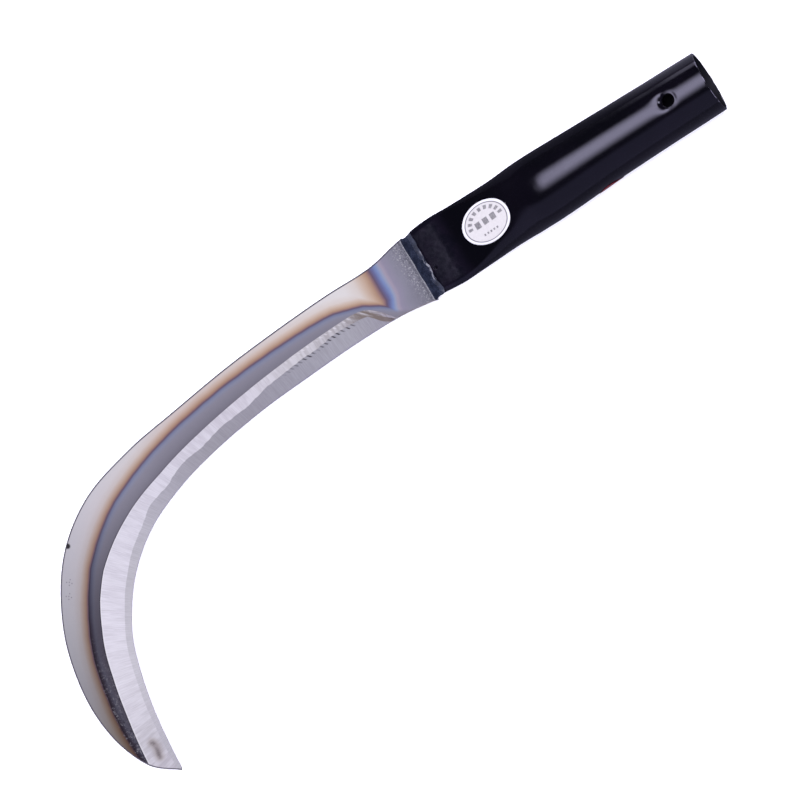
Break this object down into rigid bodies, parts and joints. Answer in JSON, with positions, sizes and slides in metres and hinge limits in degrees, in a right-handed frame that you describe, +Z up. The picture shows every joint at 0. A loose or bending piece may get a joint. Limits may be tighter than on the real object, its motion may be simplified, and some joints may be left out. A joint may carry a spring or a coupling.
{
  "type": "socketed sickle head",
  "caption": "Curved steel sickle blade, ground along its inner edge and welded into the flattened end of a round black socket for a wooden handle.",
  "frame": {"origin": "middle of the bottom of the whole head's box, as it lies on its rear side", "axes": "+X along the socket's axis, out of its mouth; +Y towards the side of the blade's back; +Z up from the rear to the ground front of the blade"},
  "size_m": [0.4356, 0.1688, 0.032],
  "materials": {
    "blade_steel": "ground steel with blue and straw heat tints",
    "socket_paint": "gloss black dipped paint",
    "weld_paint": "blue-black paint over a weld bead",
    "white_label": "white paper sticker",
    "red_label": "red paper sticker"
  },
  "bodies": {
    "root": {"blade": "blade_steel", "socket": "socket_paint", "weld_bead_front": "weld_paint", "weld_bead_rear": "weld_paint", "weld_tack_edge_side": "weld_paint", "weld_tack_spine_side": "weld_paint", "inspection_label": "white_label", "rear_label": "red_label"}
  },
  "joints": []
}
